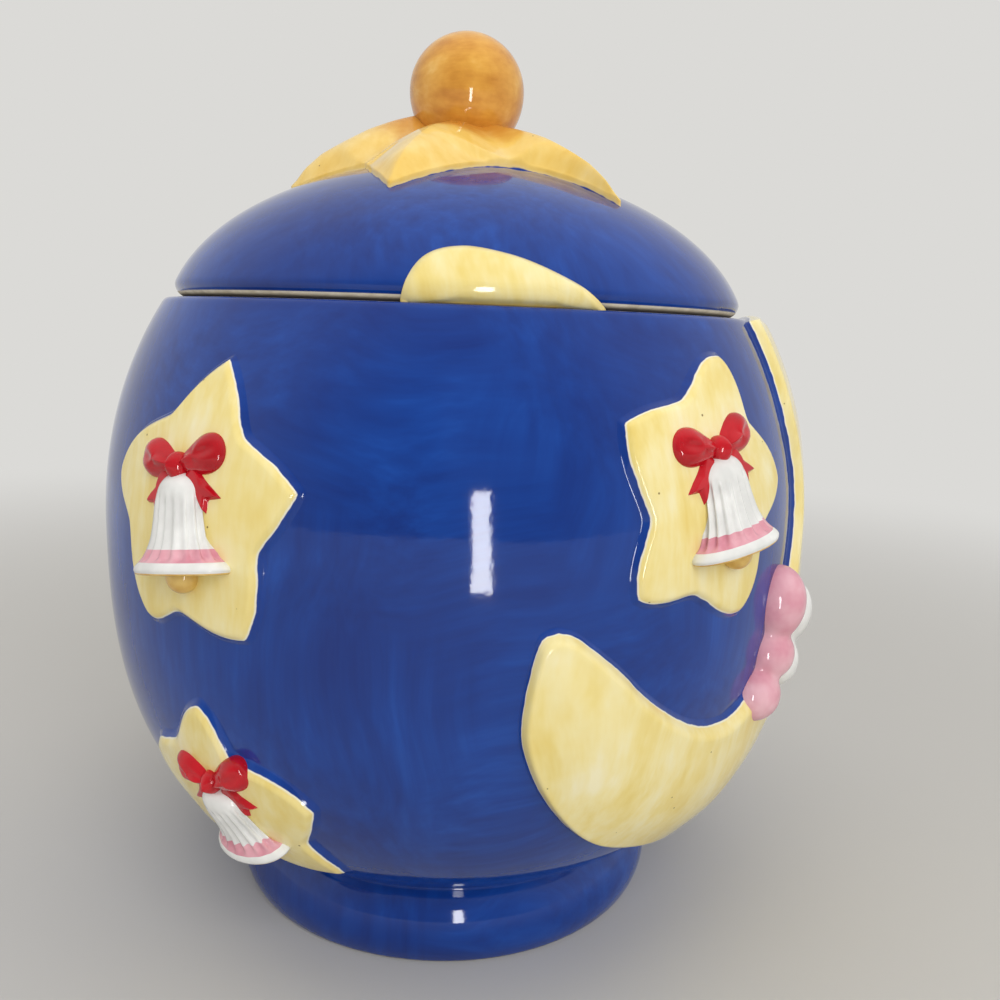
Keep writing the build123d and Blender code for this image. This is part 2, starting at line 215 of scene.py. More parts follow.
# ---- the jar's and the lid's outsides
def swell_radius(height):
    """Radius of the jar's outside at a height."""
    above = height > BELLY_HEIGHT
    reach, fullness = (SHOULDER_REACH, SHOULDER_FULLNESS) if above else (BOWL_REACH, BOWL_FULLNESS)
    return BELLY_RADIUS * (1 - (abs(height - BELLY_HEIGHT) / reach) ** fullness) ** (1 / fullness)


def dome_height(radius):
    """Height of the lid's outside at a radius."""
    rise = DOME_REACH * (1 - (radius / DOME_WIDEST) ** 2) ** (1 / DOME_FULLNESS)
    return LID_EDGE_TOP - DOME_START + rise


def around(azimuth, radius, height):
    """Point at an azimuth, radius and height."""
    turn = math.radians(azimuth)
    return np.array([radius * math.sin(turn), -radius * math.cos(turn), height])


def unit(vectors):
    """Vectors of length 1 along given ones."""
    return vectors / np.linalg.norm(vectors, axis=-1, keepdims=True)


def sideways(ways):
    """Unit vectors at right angles to flat ways, to their left."""
    ways = unit(ways)
    return np.stack([-ways[:, 1], ways[:, 0]], 1)


def seat(azimuth, height, lean=0.0):
    """Seat of a relief on the jar: its middle and its own X, Y and Z, with Z away from the jar's heart."""
    middle = around(azimuth, swell_radius(height), height)
    out = unit(middle - HEART)
    across = around(azimuth + 90, 1.0, 0.0)
    up = np.cross(out, across)
    turn = math.radians(lean)
    x = math.cos(turn) * across + math.sin(turn) * up
    return middle, x, np.cross(out, x), out


# ---- outlines
def eased(value, low=0.0, high=1.0):
    """Smooth step from 0 at low to 1 at high."""
    t = np.clip((value - low) / (high - low), 0.0, 1.0)
    return t * t * (3 - 2 * t)


def spaced(points, count, closed=False):
    """Evenly spaced points along a run of points."""
    points = np.asarray(points, float)
    if closed:
        points = np.vstack([points, points[:1]])
    along = np.concatenate([[0], np.cumsum(np.linalg.norm(np.diff(points, axis=0), axis=1))])
    wanted = np.linspace(0, along[-1], count, endpoint=not closed)
    return np.stack([np.interp(wanted, along, points[:, k]) for k in range(points.shape[1])], 1)


def through(points, steps=24):
    """Smooth curve through points."""
    p = np.asarray(points, float)
    p = np.vstack([2 * p[0] - p[1], p, 2 * p[-1] - p[-2]])
    t = np.linspace(0, 1, steps, endpoint=False)[:, None]
    runs = []
    for a, b, c, d in zip(p, p[1:], p[2:], p[3:]):
        runs.append(b + 0.5 * t * (c - a + t * (2 * a - 5 * b + 4 * c - d + t * (3 * (b - c) + d - a))))
    return np.vstack([*runs, p[-2:-1]])


def star_outline(tips, waists, count=260):
    """Hand-cut star: each edge swings in a smooth curve from a tip to a waist."""
    turns, radii = [], []
    for k, (tip_angle, tip_radius, sharpness) in enumerate(tips):
        for waist_angle, waist_radius in (waists[k - 1], waists[k]):
            near = (waist_angle - tip_angle + 180) % 360 - 180
            way = np.linspace(0, 1, 40, endpoint=False)
            blunt = 0.5 + 0.5 * np.cos(math.pi * way)
            shape = (1 - sharpness) * blunt + sharpness * (1 - way) ** 1.5
            turns.append(np.radians(tip_angle + near * way))
            radii.append(waist_radius + (tip_radius - waist_radius) * shape)
    turns, radii = np.concatenate(turns) % (2 * math.pi), np.concatenate(radii)
    order = np.argsort(turns)
    turns, radii = turns[order], radii[order]
    return spaced(np.stack([radii * np.cos(turns), radii * np.sin(turns)], 1), count, closed=True)


def rows_of_relief(outline, core, offsets, shares):
    """Rows of points from outside an outline in to its core, with each point's depth inside the edge.

    Offsets are depths, negative outside the edge, and shares go on from the last of them to the core.
    """
    inwards = sideways(np.roll(outline, -1, 0) - np.roll(outline, 1, 0))
    to_core = core - outline
    reach = np.linalg.norm(to_core, axis=1, keepdims=True)
    to_core = to_core / reach
    slant = np.clip((to_core * inwards).sum(1, keepdims=True), 0.6, 1.0)
    for _ in range(6):
        slant = (slant + np.roll(slant, 1, 0) + np.roll(slant, -1, 0)) / 3
    rows, depths = [], []
    for offset in offsets:
        rows.append(outline + to_core * np.minimum(offset / slant, 0.8 * reach))
        depths.append(np.full(len(outline), offset))
    inner = rows[-1]
    for share in shares:
        rows.append(inner + (core - inner) * share)
        depths.append(offsets[-1] + share * np.linalg.norm(core - inner, axis=1))
    return np.array(rows), np.array(depths)


# ---- meshes
def new_object(name, data):
    """Object in the scene that holds a mesh, a light or a camera."""
    made = bpy.data.objects.new(name, data)
    bpy.context.scene.collection.objects.link(made)
    return made


def piece_from(name, points, faces, materials=()):
    """Mesh piece from points in millimetres."""
    mesh = bpy.data.meshes.new(name)
    mesh.from_pydata((np.reshape(points, (-1, 3)) * MM).tolist(), [], faces)
    for material in materials:
        mesh.materials.append(material)
    return new_object(name, mesh)


def grid_faces(rows, columns, base=0):
    """Faces between each listed row of points and the next, whose last column joins the first."""
    faces = []
    for row, following in zip(rows, rows[1:]):
        for c in range(columns):
            n = (c + 1) % columns
            corners = row * columns + c, row * columns + n, following * columns + n, following * columns + c
            faces.append([base + corner for corner in corners])
    return faces


def finish(piece, node, body):
    """Merges doubles, turns faces outwards, smooths them, ties the piece to its body and hides the imported
    part that it stands in for.
    """
    form = bmesh.new()
    form.from_mesh(piece.data)
    bmesh.ops.remove_doubles(form, verts=form.verts, dist=0.01 * MM)
    bmesh.ops.recalc_face_normals(form, faces=form.faces)
    if form.calc_volume(signed=True) < 0:
        bmesh.ops.reverse_faces(form, faces=form.faces)
    form.to_mesh(piece.data)
    form.free()
    piece.data.shade_smooth()
    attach(piece, body)
    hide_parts(node)


def add(tree, kind, inputs=None, **settings):
    """Adds a node with its settings and its inputs, which are values or other nodes' outputs."""
    made = tree.nodes.new(kind)
    for key, value in settings.items():
        setattr(made, key, value)
    for key, value in (inputs or {}).items():
        if isinstance(value, bpy.types.NodeSocket):
            tree.links.new(value, made.inputs[key])
        else:
            made.inputs[key].default_value = value
    return made


def maths(tree, operation, *values):
    """Number that a maths node makes of numbers or outputs."""
    return add(tree, "ShaderNodeMath", dict(enumerate(values)), operation=operation).outputs[0]


def vector_maths(tree, operation, *vectors, output="Vector"):
    """Vector, or another output, that a vector maths node makes of vectors."""
    return add(tree, "ShaderNodeVectorMath", dict(enumerate(vectors)), operation=operation).outputs[output]


def scaled(tree, vector, amount):
    """Vector times a number."""
    return add(tree, "ShaderNodeVectorMath", {0: vector, "Scale": amount}, operation="SCALE").outputs[0]


def own_place(tree):
    """Place on the ware itself, in metres."""
    return add(tree, "ShaderNodeTexCoord").outputs["Object"]


def noise(tree, place, scale, detail, output=0):
    """Soft noise at a place."""
    made = add(tree, "ShaderNodeTexNoise", {"Vector": place, "Scale": scale, "Detail": detail})
    return made.outputs[output]


def geometry_tree(name, **sockets):
    """Geometry tree with its named inputs, a glaze among them, and its inputs' outputs inside it."""
    tree = bpy.data.node_groups.new(name, "GeometryNodeTree")
    for label, kind in {"Geometry": "Geometry", **sockets, "Glaze": "Material"}.items():
        tree.interface.new_socket(label, in_out="INPUT", socket_type=f"NodeSocket{kind}")
    tree.interface.new_socket("Geometry", in_out="OUTPUT", socket_type="NodeSocketGeometry")
    return tree, add(tree, "NodeGroupInput").outputs


def give_out(tree, formed, glaze):
    """Ends a geometry tree with a formed piece under its glaze."""
    plain = add(tree, "GeometryNodeRealizeInstances", {"Geometry": formed}).outputs[0]
    coated = add(tree, "GeometryNodeSetMaterial", {"Geometry": plain, "Material": glaze}).outputs[0]
    add(tree, "NodeGroupOutput", {0: coated})


def as_mesh(piece):
    """Gives a piece the mesh that its modifiers make, and takes them off."""
    depsgraph = bpy.context.evaluated_depsgraph_get()
    depsgraph.update()
    formed = piece.evaluated_get(depsgraph)
    mesh = bpy.data.meshes.new_from_object(formed, preserve_all_data_layers=True, depsgraph=depsgraph)
    piece.modifiers.clear()
    piece.data = mesh


def run_tree(piece, tree, **values):
    """Forms a piece by a geometry tree, with the tree's inputs set by name."""
    modifier = piece.modifiers.new(tree.name, "NODES")
    modifier.node_group = tree
    for item in tree.interface.items_tree:
        if item.in_out == "INPUT" and item.name in values:
            modifier[item.identifier] = values[item.name]
    as_mesh(piece)


def throwing_tree():
    """Turns an outline of radius and height about Z, as on a potter's wheel, a little out of round."""
    tree, given = geometry_tree("thrown_form", Segments="Int", Unevenness="Float")
    outline = given["Geometry"]
    count = add(tree, "GeometryNodeAttributeDomainSize", {0: outline}, component="MESH").outputs[0]
    columns = maths(tree, "ADD", given["Segments"], 1.0)
    grid = add(tree, "GeometryNodeMeshGrid", {"Vertices X": columns, "Vertices Y": count}).outputs["Mesh"]
    index = add(tree, "GeometryNodeInputIndex").outputs[0]
    along = maths(tree, "MODULO", index, count)
    column = maths(tree, "FLOOR", maths(tree, "DIVIDE", index, count))
    turn = maths(tree, "MULTIPLY", maths(tree, "DIVIDE", column, given["Segments"]), 2 * math.pi)
    place = add(tree, "GeometryNodeInputPosition").outputs[0]
    wanted = {"Geometry": outline, "Value": place, "Index": along}
    drawn = add(tree, "GeometryNodeSampleIndex", wanted, data_type="FLOAT_VECTOR", domain="POINT").outputs[0]
    posed = add(
        tree, "ShaderNodeVectorRotate", {"Vector": drawn, "Angle": turn}, rotation_type="Z_AXIS"
    ).outputs[0]
    swing = maths(tree, "SUBTRACT", noise(tree, posed, OUT_OF_ROUND_SCALE, 1.0), 0.5)
    amount = maths(tree, "MULTIPLY", swing, given["Unevenness"])
    push = scaled(tree, vector_maths(tree, "MULTIPLY", posed, (1, 1, 0)), amount)
    moved = vector_maths(tree, "ADD", posed, push)
    formed = add(tree, "GeometryNodeSetPosition", {"Geometry": grid, "Position": moved}).outputs[0]
    closed = add(tree, "GeometryNodeMergeByDistance", {"Geometry": formed, "Distance": 0.01 * MM}).outputs[0]
    give_out(tree, closed, given["Glaze"])
    return tree


def pressing_tree():
    """Presses a relief onto the ware: each point runs its own way to the skin, then stands up by its rise."""
    tree, given = geometry_tree("pressed_relief", Skin="Object", Reach="Float")
    skin = add(tree, "GeometryNodeObjectInfo", {"Object": given["Skin"]}, transform_space="ORIGINAL")
    way = add(tree, "GeometryNodeInputNamedAttribute", {"Name": "way"}, data_type="FLOAT_VECTOR").outputs[0]
    rise = add(tree, "GeometryNodeInputNamedAttribute", {"Name": "rise"}, data_type="FLOAT").outputs[0]
    place = add(tree, "GeometryNodeInputPosition").outputs[0]
    ray = {
        "Target Geometry": skin.outputs["Geometry"],
        "Attribute": add(tree, "GeometryNodeInputNormal").outputs[0],
        "Source Position": vector_maths(tree, "ADD", place, scaled(tree, way, given["Reach"])),
        "Ray Direction": scaled(tree, way, -1.0),
        "Ray Length": 1.0,
    }
    found = add(tree, "GeometryNodeRaycast", ray, data_type="FLOAT_VECTOR", mapping="INTERPOLATED").outputs
    lift = scaled(tree, vector_maths(tree, "NORMALIZE", found["Attribute"]), rise)
    pressed = vector_maths(tree, "ADD", found["Hit Position"], lift)
    moved = {"Geometry": given["Geometry"], "Selection": found["Is Hit"], "Position": pressed}
    formed = add(tree, "GeometryNodeSetPosition", moved).outputs[0]
    give_out(tree, formed, given["Glaze"])
    return tree


# ---- colours and glazes
def srgb(code):
    """Linear colour of an sRGB hex value."""
    shares = [int(code[k : k + 2], 16) / 255 for k in (1, 3, 5)]
    return (*[s / 12.92 if s <= 0.04045 else ((s + 0.055) / 1.055) ** 2.4 for s in shares], 1.0)


def per_mm(size):
    """Texture scale at which one wave is about that many millimetres."""
    return 1000.0 / size


def strokes(tree, length, width, direction, bend):
    """Brush strokes of a length and width in millimetres along an axis, bent as a hand bends them."""
    place = own_place(tree)
    sway = vector_maths(tree, "SUBTRACT", noise(tree, place, per_mm(70), 1.0, "Color"), (0.5, 0.5, 0.5))
    bent = vector_maths(tree, "ADD", place, scaled(tree, sway, bend))
    scale = tuple(per_mm(length if axis == direction else width) for axis in "XYZ")
    stretched = add(tree, "ShaderNodeMapping", {"Vector": bent, "Scale": scale}).outputs[0]
    inputs = {"Vector": stretched, "Scale": 1.0, "Detail": 3.0, "Roughness": 0.6}
    return add(tree, "ShaderNodeTexNoise", inputs).outputs[0]


def patches(tree, size, detail=2.0):
    """Soft patches of a size in millimetres."""
    return noise(tree, own_place(tree), per_mm(size), detail)


def coat_tone(tree, stroke, stroke_share, pool):
    """Tone of a brushed coat: a share of its strokes and the rest of its pools."""
    pooled = maths(tree, "MULTIPLY", pool, 1 - stroke_share)
    return maths(tree, "MULTIPLY_ADD", stroke, stroke_share, pooled)


def ramp(tree, value, stops):
    """Colour of a value, from stops of place and sRGB hex."""
    made = add(tree, "ShaderNodeValToRGB", {0: value})
    elements = made.color_ramp.elements
    while len(elements) < len(stops):
        elements.new(0.5)
    for element, (place, code) in zip(elements, stops):
        element.position = place
        element.color = srgb(code)
    return made.outputs[0]


def mixed(tree, share, first, second, blend="MIX"):
    """Two colours mixed, each an output or sRGB hex."""
    first, second = (srgb(c) if isinstance(c, str) else c for c in (first, second))
    inputs = {0: share, 6: first, 7: second}
    return add(tree, "ShaderNodeMix", inputs, data_type="RGBA", blend_type=blend).outputs[2]


def stepped(tree, value, low, high):
    """0 below low, 1 above high and smooth between."""
    inputs = {0: value, 1: low, 2: high}
    return add(tree, "ShaderNodeMapRange", inputs, interpolation_type="SMOOTHSTEP").outputs[0]


def cobalt_colour(tree):
    """Cobalt laid on with a broad brush: upright strokes crossed by level ones, in two uneven coats."""
    upright = strokes(tree, 90, 4.5, "Z", bend=0.04)
    level = strokes(tree, 90, 4.5, "X", bend=0.05)
    crossing = stepped(tree, patches(tree, 90), 0.47, 0.6)
    stroke = add(tree, "ShaderNodeMix", {0: crossing, 2: upright, 3: level}).outputs[0]
    tone = coat_tone(tree, stroke, 0.45, patches(tree, 52))
    return ramp(tree, tone, [(0.34, "#032C7C"), (0.46, "#053588"), (0.55, "#073D94"), (0.68, "#104BA8")])


def cream_colour(tree):
    """Thin yellow wash over white slip, with darker pools where the brush stopped, and specks of grit."""
    upright = strokes(tree, 32, 6, "Z", bend=0.03)
    tone = coat_tone(tree, upright, 0.5, patches(tree, 17, 3.0))
    washed = ramp(tree, tone, [(0.34, "#F0D67A"), (0.47, "#F6E294"), (0.58, "#FAEBAC"), (0.70, "#FDF3C8")])
    grit = add(tree, "ShaderNodeTexVoronoi", {"Vector": own_place(tree), "Scale": per_mm(7)})
    return mixed(tree, stepped(tree, grit.outputs["Distance"], 0.035, 0.055), "#8A7442", washed)


def amber_colour(tree):
    """Amber sponged on in two coats: mottled honey and burnt orange."""
    drag = strokes(tree, 16, 4, "X", bend=0.03)
    tone = coat_tone(tree, drag, 0.4, patches(tree, 9, 5.0))
    return ramp(tree, tone, [(0.34, "#CC8830"), (0.46, "#DD9C3E"), (0.56, "#E9AC4A"), (0.68, "#F4C269")])


def arm_colour(tree):
    """Golden cream that the ball's amber has run down onto."""
    ball = (0, 0, KNOB_CENTRE_HEIGHT * MM)
    from_ball = vector_maths(tree, "DISTANCE", own_place(tree), ball, output="Value")
    runs = maths(tree, "MULTIPLY_ADD", patches(tree, 9, 3.0), -0.02, from_ball)
    clear = stepped(tree, runs, (KNOB_RADIUS - 7.0) * MM, (KNOB_RADIUS + 8.0) * MM)
    golden = mixed(tree, 1.0, cream_colour(tree), "#FFEAC0", blend="MULTIPLY")
    return mixed(tree, clear, "#D8963A", golden)


def bump(tree, height, swell, under=None):
    """Normal of a surface that swells by a height in millimetres, over another normal."""
    inputs = {"Strength": 1.0, "Distance": height * MM, "Height": swell}
    if under is not None:
        inputs["Normal"] = under
    return add(tree, "ShaderNodeBump", inputs).outputs[0]


def gloss_bump(tree, wave=11.0, height=0.06):
    """Normal of a fired gloss: long swells from the pour and a finer orange peel, sizes in millimetres."""
    return bump(tree, 0.012, patches(tree, 1.6), bump(tree, height, patches(tree, wave, 1.0)))


def blank(kind, name):
    """New material or world and its empty tree."""
    made = kind.new(name)
    made.use_nodes = True
    made.node_tree.nodes.clear()
    return made, made.node_tree


def fired(name, colour, normal, roughness=GLOSS_ROUGHNESS):
    """Material of a fired surface, whose colour and normal are drawn by functions of its tree."""
    material, tree = blank(bpy.data.materials, name)
    inputs = {"Base Color": colour(tree), "Roughness": roughness, "IOR": 1.5, "Normal": normal(tree)}
    shader = add(tree, "ShaderNodeBsdfPrincipled", inputs)
    add(tree, "ShaderNodeOutputMaterial", {0: shader.outputs[0]})
    return material


def relief_glaze(name="cream_glaze_on_cobalt", colour=cream_colour, line=0.0, bare="#F6F1DC"):
    """Moulded relief: its top in its own colour, its sides cobalt, with a thin bare line between them."""

    def painted(tree):
        depth = add(tree, "ShaderNodeAttribute", attribute_name="depth").outputs["Fac"]
        edge = maths(tree, "MULTIPLY_ADD", maths(tree, "SUBTRACT", patches(tree, 5), 0.5), 0.7, depth)
        top = mixed(tree, stepped(tree, edge, line + 0.1, line + 0.5), bare, colour(tree))
        return mixed(tree, stepped(tree, edge, line - 0.1, line + 0.1), cobalt_colour(tree), top)

    return fired(name, painted, lambda tree: gloss_bump(tree, height=0.1))


def plain_glaze(name, dark, light, size):
    """One colour of overglaze, a little uneven."""
    return fired(
        name,
        lambda tree: ramp(tree, patches(tree, size, 3.0), [(0.35, dark), (0.65, light)]),
        lambda tree: gloss_bump(tree, 6.0, 0.05),
    )


def bare_clay(name="bare_fired_earthenware", painted_shade_below=None):
    """Bare fired earthenware, where the ware stands or meets: matt, chalky cream, darkened grey below a
    height as painted shade when one is given.
    """

    def chalky(tree):
        colour = ramp(tree, patches(tree, 4, 4.0), [(0.35, "#D9D0BC"), (0.65, "#EDE6D6")])
        if painted_shade_below is None:
            return colour
        # Painted shade: the clay turns dark grey below the given height and fades back to cream over the next
        # millimetre, standing in for the shadow in the gap under the lid's edge.
        height = add(tree, "ShaderNodeSeparateXYZ", {0: own_place(tree)}).outputs["Z"]
        return mixed(tree, stepped(tree, height, painted_shade_below * MM, (painted_shade_below + 1.0) * MM), "#4E4A4B", colour)

    return fired(name, chalky, lambda tree: bump(tree, 0.05, patches(tree, 1.0, 3.0)), roughness=0.82)


# ---- thrown forms
def softened(points, spacing, passes):
    """An outline with its corners worn round, by moving each of its close points towards its neighbours."""
    count = int(np.linalg.norm(np.diff(points, axis=0), axis=1).sum() / spacing)
    p = spaced(points, count)
    for _ in range(passes):
        p[1:-1] = (p[:-2] + 2 * p[1:-1] + p[2:]) / 4
    p[0, 0] = p[-1, 0] = 0.0
    return p


def thinned(points, slack=0.01, longest=4.0):
    """The outline's points, without those that a straight run stands for."""
    kept, start = [0], 0
    for end in range(2, len(points)):
        run = points[end] - points[start]
        length = np.linalg.norm(run)
        between = points[start + 1 : end] - points[start]
        away = np.abs(between[:, 0] * run[1] - between[:, 1] * run[0]) / length
        if away.max() > slack or length > longest:
            kept.append(end - 1)
            start = end - 1
    return points[[*kept, len(points) - 1]]


def arc_through(first, middle, last, count=40):
    """Points of the arc through three points, worked out as complex numbers."""
    a, b, c = complex(*first), complex(*middle), complex(*last)
    ratio = (c - a) / (b - a)
    heart = a + (b - a) * (ratio - abs(ratio) ** 2) / (2j * ratio.imag)
    turns = np.unwrap(np.angle([a - heart, b - heart, c - heart]))
    arc = heart + abs(a - heart) * np.exp(1j * np.linspace(turns[0], turns[-1], count))
    return np.stack([arc.real, arc.imag], 1)


def swell_points(low, high, inset=0.0, count=160):
    """Points up the jar's outside between two heights, moved in by an inset."""
    heights = np.linspace(low, high, count)
    points = np.stack([[swell_radius(h) for h in heights], heights], 1)
    return points + inset * sideways(np.gradient(points, axis=0))


def jar_outline():
    """Outline of the jar's wall: recess, foot, outside, rim, and the hollow down to its floor."""
    ring_inside = FOOT_CONTACT_RADIUS - FOOT_RING_WIDTH
    groove = (swell_radius(GROOVE_HEIGHT), GROOVE_HEIGHT)
    foot = arc_through((FOOT_CONTACT_RADIUS, 0), (FOOT_RADIUS, FOOT_BULGE_HEIGHT), groove)
    recess = [(0, FOOT_RECESS), (ring_inside, FOOT_RECESS), (ring_inside, 0)]
    inside = swell_points(GROOVE_HEIGHT, RIM_HEIGHT, JAR_WALL)
    inside = inside[(inside[:, 1] > FLOOR_HEIGHT) & (inside[:, 1] < RIM_HEIGHT - JAR_WALL)]
    inside = inside[(inside[:, 0] > MOUTH_RADIUS) | (inside[:, 1] < BELLY_HEIGHT)]
    neck = [(MOUTH_RADIUS, RIM_HEIGHT), (MOUTH_RADIUS, inside[-1, 1])]
    width, height = FLOOR_COVE
    side = inside[0, 0]
    floor = [(side - width, FLOOR_HEIGHT + height), (side - 2 * width, FLOOR_HEIGHT), (0, FLOOR_HEIGHT)]
    return np.vstack([recess, foot, swell_points(GROOVE_HEIGHT, RIM_HEIGHT), neck, inside[::-1], floor])


def lid_outline():
    """Outline of the lid's wall: dome, edge, seat, the ring that drops into the mouth, and the hollow."""
    radii = LID_RADIUS * np.sin(np.linspace(0, math.pi / 2, 120))
    dome = np.stack([radii, [dome_height(r) for r in radii]], 1)
    ring_outside = MOUTH_RADIUS - FLANGE_CLEARANCE
    ring_inside = ring_outside - FLANGE_WIDTH
    bottom = RIM_HEIGHT - FLANGE_DEPTH
    under = dome - LID_WALL * sideways(np.gradient(dome, axis=0))
    under = under[(under[:, 0] < ring_inside) & (under[:, 0] > 0)]
    turns = np.linspace(0, math.pi / 2, 12)
    edge = np.stack([np.cos(turns), -np.sin(turns)], 1) * LID_EDGE_ROUNDING
    edge += [LID_RADIUS - LID_EDGE_ROUNDING, RIM_HEIGHT + LID_EDGE_ROUNDING]
    ring = [(ring_outside, RIM_HEIGHT), (ring_outside, bottom), (ring_inside, bottom)]
    return np.vstack([dome, edge, ring, under[::-1], [(0, under[0, 1])]])


def thrown(name, outline, tree, materials, segments, unevenness):
    """Piece turned from an outline by the throwing tree."""
    points = np.stack([outline[:, 0], 0 * outline[:, 0], outline[:, 1]], 1)
    piece = piece_from(name, points, [])
    piece.data.edges.add(len(points) - 1)
    piece.data.edges.foreach_set("vertices", [k + e for k in range(len(points) - 1) for e in (0, 1)])
    piece.data.update()
    run_tree(piece, tree, Segments=segments, Unevenness=unevenness, Glaze=materials[0])
    piece.data.materials.clear()
    for material in materials:
        piece.data.materials.append(material)
    return piece


def paint_faces(piece, choose):
    """Gives each face the material that its middle's radius and height call for."""
    for face in piece.data.polygons:
        x, y, z = (v / MM for v in face.center)
        face.material_index = choose(math.hypot(x, y), z)


def jar_zone(radius, height):
    """0 glazed blue outside, 1 cream inside, 2 bare clay, on the jar."""
    if height < FLAT or (height > RIM_HEIGHT - FLAT and radius < LID_RADIUS - RIM_GLAZE):
        return 2
    if height < FOOT_RECESS + 1 and radius < FOOT_CONTACT_RADIUS - 4:
        return 2
    inside = height > FLOOR_HEIGHT - 1 and radius < swell_radius(min(height, RIM_HEIGHT)) - JAR_WALL / 2
    return 1 if inside else 0


def lid_zone(radius, height):
    """0 glazed blue outside, 1 cream inside, 2 bare clay, 3 bare clay with painted shade at the seam, on the
    lid.
    """
    if height < RIM_HEIGHT + LID_BARE_BAND and radius > MOUTH_RADIUS - 2 * FLANGE_CLEARANCE:
        # Zone 3, the rounded lower edge, gets the clay with painted shade at the seam.
        return 3 if radius > LID_RADIUS - LID_EDGE_ROUNDING else 2
    under = radius < MOUTH_RADIUS and height < dome_height(min(radius, LID_RADIUS)) - LID_WALL / 2
    return 1 if under else 0


# ---- reliefs
def make_relief(name, body, parts, skin, tree, material, reach=60.0, ring=False):
    """Closed reliefs pressed onto a skin, each from its rows of placed points, ways, rises and depths.

    The first and last rows are repeated under the skin as a relief's back. The last row is its core, a point
    or a line; a ring has a hole there, which gets a wall.
    """
    points, ways, rises, depths, faces, base = [], [], [], [], [], 0
    for rows, way, rise, depth in parts:
        count, columns = rise.shape
        points += [rows.reshape(-1, 3), rows[0], rows[-1]]
        ways += [way.reshape(-1, 3), way[0], way[-1]]
        rises += [rise.ravel(), np.full(2 * columns, -BACK_SINK)]
        depths += [depth.ravel(), np.full(2 * columns, -BACK_DEPTH)]
        order = [*range(count - 1, -1, -1), count, count + 1, *([count - 1] if ring else [])]
        faces += grid_faces(order, columns, base)
        base += (count + 2) * columns
    piece = piece_from(name, np.vstack(points), faces)
    values = {"way": np.vstack(ways), "rise": np.concatenate(rises) * MM, "depth": np.concatenate(depths)}
    for label, numbers in values.items():
        kind, field = ("FLOAT_VECTOR", "vector") if label == "way" else ("FLOAT", "value")
        layer = piece.data.attributes.new(label, kind, "POINT")
        layer.data.foreach_set(field, numbers.astype(np.float32).ravel())
    run_tree(piece, tree, Skin=skin, Reach=reach * MM, Glaze=material)
    finish(piece, name, body)


def on_seat(place, rows):
    """Rows of flat points put on a seat's plane, and their ways out."""
    middle, x, y, out = place
    return middle + rows[..., :1] * x + rows[..., 1:] * y, np.broadcast_to(out, (*rows.shape[:2], 3))


def make_star(name, skin, tree, material):
    """Moulded star, pillowed, and a little thinner at its tips."""
    azimuth, height, lean, (tips, waists), _ = STARS[name]
    outline = star_outline(tips, waists)
    rows, depth = rows_of_relief(outline, 0 * outline, SKIRT + SHOULDER, INWARD)
    away = np.linalg.norm(rows, axis=2)
    thin = 1 - STAR_THINNING * eased(away, *STAR_THINNING_RADII)
    pillow = STAR_PILLOW * (1 - eased(away, 0, STAR_PILLOW_RADIUS))
    rise = STAR_RELIEF * eased(depth, *SLOPE) * thin + pillow - BEDDING
    placed, ways = on_seat(seat(azimuth, height, lean), rows)
    make_relief(f"star_{name}", "jar", [(placed, ways, rise, depth)], skin, tree, material)


def make_moon(skin, tree, material):
    """Crescent that wraps the jar from its lower horn round to the rim, fanned out from the jar's heart."""
    middle, x, y, out = seat(*MOON_MIDDLE)
    distance = np.linalg.norm(middle - HEART)

    def drawn(azimuth, height):
        ray = around(azimuth, swell_radius(height), height) - HEART
        point = HEART + ray * (distance / (ray @ out)) - middle
        return point @ x, point @ y

    count = 170
    outer = spaced(through([drawn(*p) for p in MOON_OUTER]), count)
    inner = spaced(through([drawn(*p) for p in MOON_INNER]), count)
    top = np.linspace(outer[-1], inner[-1], 26)[1:-1]
    outline = np.vstack([top, inner[:0:-1], outer])
    first, last = (int(share * count) for share in MOON_SPINE)
    steps = np.clip(np.arange(count), first, last)
    steps = np.concatenate([np.full(len(top), last), steps[:0:-1], steps])
    spine = (outer[steps] + inner[steps]) / 2
    rows, depth = rows_of_relief(outline, spine, SKIRT + SHOULDER + [5.2, 6.6], INWARD)
    depth[-1] = np.linalg.norm(outer - inner, axis=1)[steps] / 2
    rise = MOON_RELIEF * eased(depth, *MOON_SLOPE) - BEDDING
    rise += MOON_CROWN * eased(depth, 0, MOON_CROWN_DEPTH)
    placed = on_seat((middle, x, y, out), rows)[0]
    parts = [(placed, unit(placed - HEART), rise, depth)]
    make_relief("crescent_moon", "jar", parts, skin, tree, material, reach=80.0)


def make_lid_moon(skin, tree, material):
    """The crescent's upper horn on the edge of the lid."""
    curve = through([(math.radians(azimuth) * LID_RADIUS, height) for azimuth, height in LID_MOON_EDGE])
    base = np.linspace(curve[-1], curve[0], 40)[1:-1]
    outline = spaced(np.vstack([curve, base]), 220, closed=True)[::-1]
    azimuth, height = LID_MOON_MIDDLE
    core = 0 * outline + [math.radians(azimuth) * LID_RADIUS, height]
    step = 1.25  # the highest line's points stand this far apart, so that neighbouring slopes share them
    core[:, 0] += step * np.round(np.clip(outline[:, 0] - core[:, 0], *LID_MOON_SPINE) / step)
    rows, depth = rows_of_relief(outline, core, [0.0, *SHOULDER], INWARD)
    rise = LID_MOON_RELIEF * eased(depth, *LID_MOON_SLOPE) - BEDDING / 2
    turns = rows[..., 0] / LID_RADIUS
    ways = np.stack([np.sin(turns), -np.cos(turns), 0 * turns], 2)
    placed = ways * LID_RADIUS + rows[..., 1:] * np.array([0, 0, 1.0])
    make_relief("lid_moon", "lid", [(placed, ways, rise, depth)], skin, tree, material)


